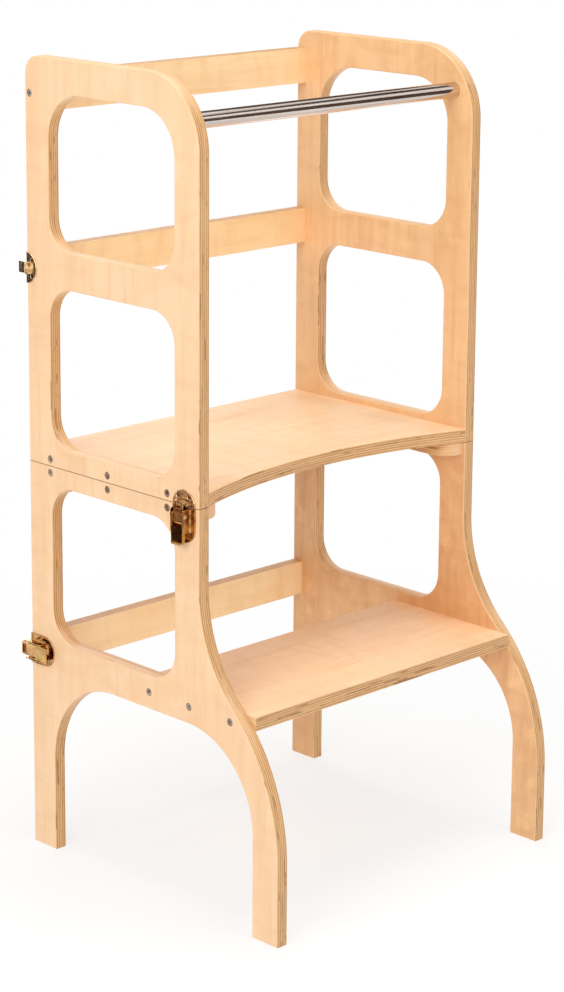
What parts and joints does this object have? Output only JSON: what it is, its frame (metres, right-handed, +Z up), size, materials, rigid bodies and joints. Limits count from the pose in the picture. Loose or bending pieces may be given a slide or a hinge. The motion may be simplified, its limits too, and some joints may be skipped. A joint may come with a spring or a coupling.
{
  "type": "toddler kitchen helper stool",
  "caption": "Plywood standing tower with step and hand rail; the upper half folds back about hinges and stands behind as a small table, held by toggle latches.",
  "frame": {"origin": "middle of the object's box at floor level", "axes": "+X to the right seen from the front, +Y to the back, +Z up; the front step and the rail face -Y"},
  "size_m": [0.4536, 0.408, 0.9],
  "materials": {
    "birch_plywood": "clear-lacquered birch plywood, satin",
    "brushed_rail": "brushed along its length",
    "wood_screw_steel": "plain steel socket heads",
    "bright_screw_steel": "bright plated steel",
    "latch_brass": "polished brass plating",
    "lever_brass": "polished brass plating",
    "hinge_brass": "satin brass plating"
  },
  "bodies": {
    "lower_half": {"batten_screws": "wood_screw_steel", "hinge_lower_leaf_left": "hinge_brass", "hinge_lower_leaf_right": "hinge_brass", "hinge_lower_screws": "bright_screw_steel", "hinge_pins": "bright_screw_steel", "hinge_rail": "birch_plywood", "hinge_rail_screws": "wood_screw_steel", "latch_base_front_left": "latch_brass", "latch_base_front_right": "latch_brass", "latch_base_rear_left": "latch_brass", "latch_base_rear_right": "latch_brass", "latch_base_screws": "bright_screw_steel", "latch_pivot_rivets": "bright_screw_steel", "lower_back_slat": "birch_plywood", "lower_side_left": "birch_plywood", "lower_side_right": "birch_plywood", "lower_slat_screws": "wood_screw_steel", "step_board": "birch_plywood", "step_screws": "wood_screw_steel", "support_batten_left": "birch_plywood", "support_batten_right": "birch_plywood"},
    "upper_half": {"upper_side_left": "birch_plywood", "upper_side_right": "birch_plywood", "standing_platform": "birch_plywood", "top_back_slat": "birch_plywood", "middle_back_slat": "birch_plywood", "hand_rail": "brushed_rail", "latch_keeper_front_left": "latch_brass", "latch_keeper_front_right": "latch_brass", "latch_keeper_rear_left": "latch_brass", "latch_keeper_rear_right": "latch_brass", "latch_keeper_screws": "bright_screw_steel", "hinge_upper_leaf_left": "hinge_brass", "hinge_upper_leaf_right": "hinge_brass", "hinge_upper_screws": "bright_screw_steel", "platform_screws": "wood_screw_steel", "upper_slat_screws": "wood_screw_steel"},
    "lever_front_left": {"latch_lever_front_left": "lever_brass", "latch_claw_pin_front_left": "bright_screw_steel"},
    "claw_front_left": {"latch_claw_front_left": "lever_brass"},
    "lever_front_right": {"latch_lever_front_right": "lever_brass", "latch_claw_pin_front_right": "bright_screw_steel"},
    "claw_front_right": {"latch_claw_front_right": "lever_brass"},
    "lever_rear_left": {"latch_lever_rear_left": "lever_brass", "latch_claw_pin_rear_left": "bright_screw_steel"},
    "claw_rear_left": {"latch_claw_rear_left": "lever_brass"},
    "lever_rear_right": {"latch_lever_rear_right": "lever_brass", "latch_claw_pin_rear_right": "bright_screw_steel"},
    "claw_rear_right": {"latch_claw_rear_right": "lever_brass"}
  },
  "joints": [
    {"name": "fold", "type": "hinge", "parent": "lower_half", "child": "upper_half", "pos_m": [0, 0.1938, 0.45], "axis": [-1, 0, 0], "range_deg": [0, 180]},
    {"name": "lever_front_left_swing", "type": "hinge", "parent": "lower_half", "child": "lever_front_left", "pos_m": [-0.2225, -0.0615, 0.441], "axis": [0, 1, 0], "range_deg": [0, 110]},
    {"name": "lever_front_right_swing", "type": "hinge", "parent": "lower_half", "child": "lever_front_right", "pos_m": [0.2225, -0.0615, 0.441], "axis": [0, -1, 0], "range_deg": [0, 110]},
    {"name": "lever_rear_left_swing", "type": "hinge", "parent": "lower_half", "child": "lever_rear_left", "pos_m": [-0.2225, 0.1848, 0.2325], "axis": [0, 0, -1], "range_deg": [0, 110]},
    {"name": "lever_rear_right_swing", "type": "hinge", "parent": "lower_half", "child": "lever_rear_right", "pos_m": [0.2225, 0.1848, 0.2325], "axis": [0, 0, 1], "range_deg": [0, 110]},
    {"name": "claw_front_left_swing", "type": "hinge", "parent": "lever_front_left", "child": "claw_front_left", "pos_m": [-0.221, -0.0615, 0.434], "axis": [0, 1, 0], "range_deg": [-110, 0]},
    {"name": "claw_front_right_swing", "type": "hinge", "parent": "lever_front_right", "child": "claw_front_right", "pos_m": [0.221, -0.0615, 0.434], "axis": [0, -1, 0], "range_deg": [-110, 0]},
    {"name": "claw_rear_left_swing", "type": "hinge", "parent": "lever_rear_left", "child": "claw_rear_left", "pos_m": [-0.221, 0.1778, 0.2325], "axis": [0, 0, -1], "range_deg": [-110, 0]},
    {"name": "claw_rear_right_swing", "type": "hinge", "parent": "lever_rear_right", "child": "claw_rear_right", "pos_m": [0.221, 0.1778, 0.2325], "axis": [0, 0, 1], "range_deg": [-110, 0]}
  ],
  "couplings": [
    {"joint": "claw_front_left_swing", "follows": "lever_front_left_swing", "ratio": -1},
    {"joint": "claw_front_right_swing", "follows": "lever_front_right_swing", "ratio": -1},
    {"joint": "claw_rear_left_swing", "follows": "lever_rear_left_swing", "ratio": -1},
    {"joint": "claw_rear_right_swing", "follows": "lever_rear_right_swing", "ratio": -1}
  ]
}
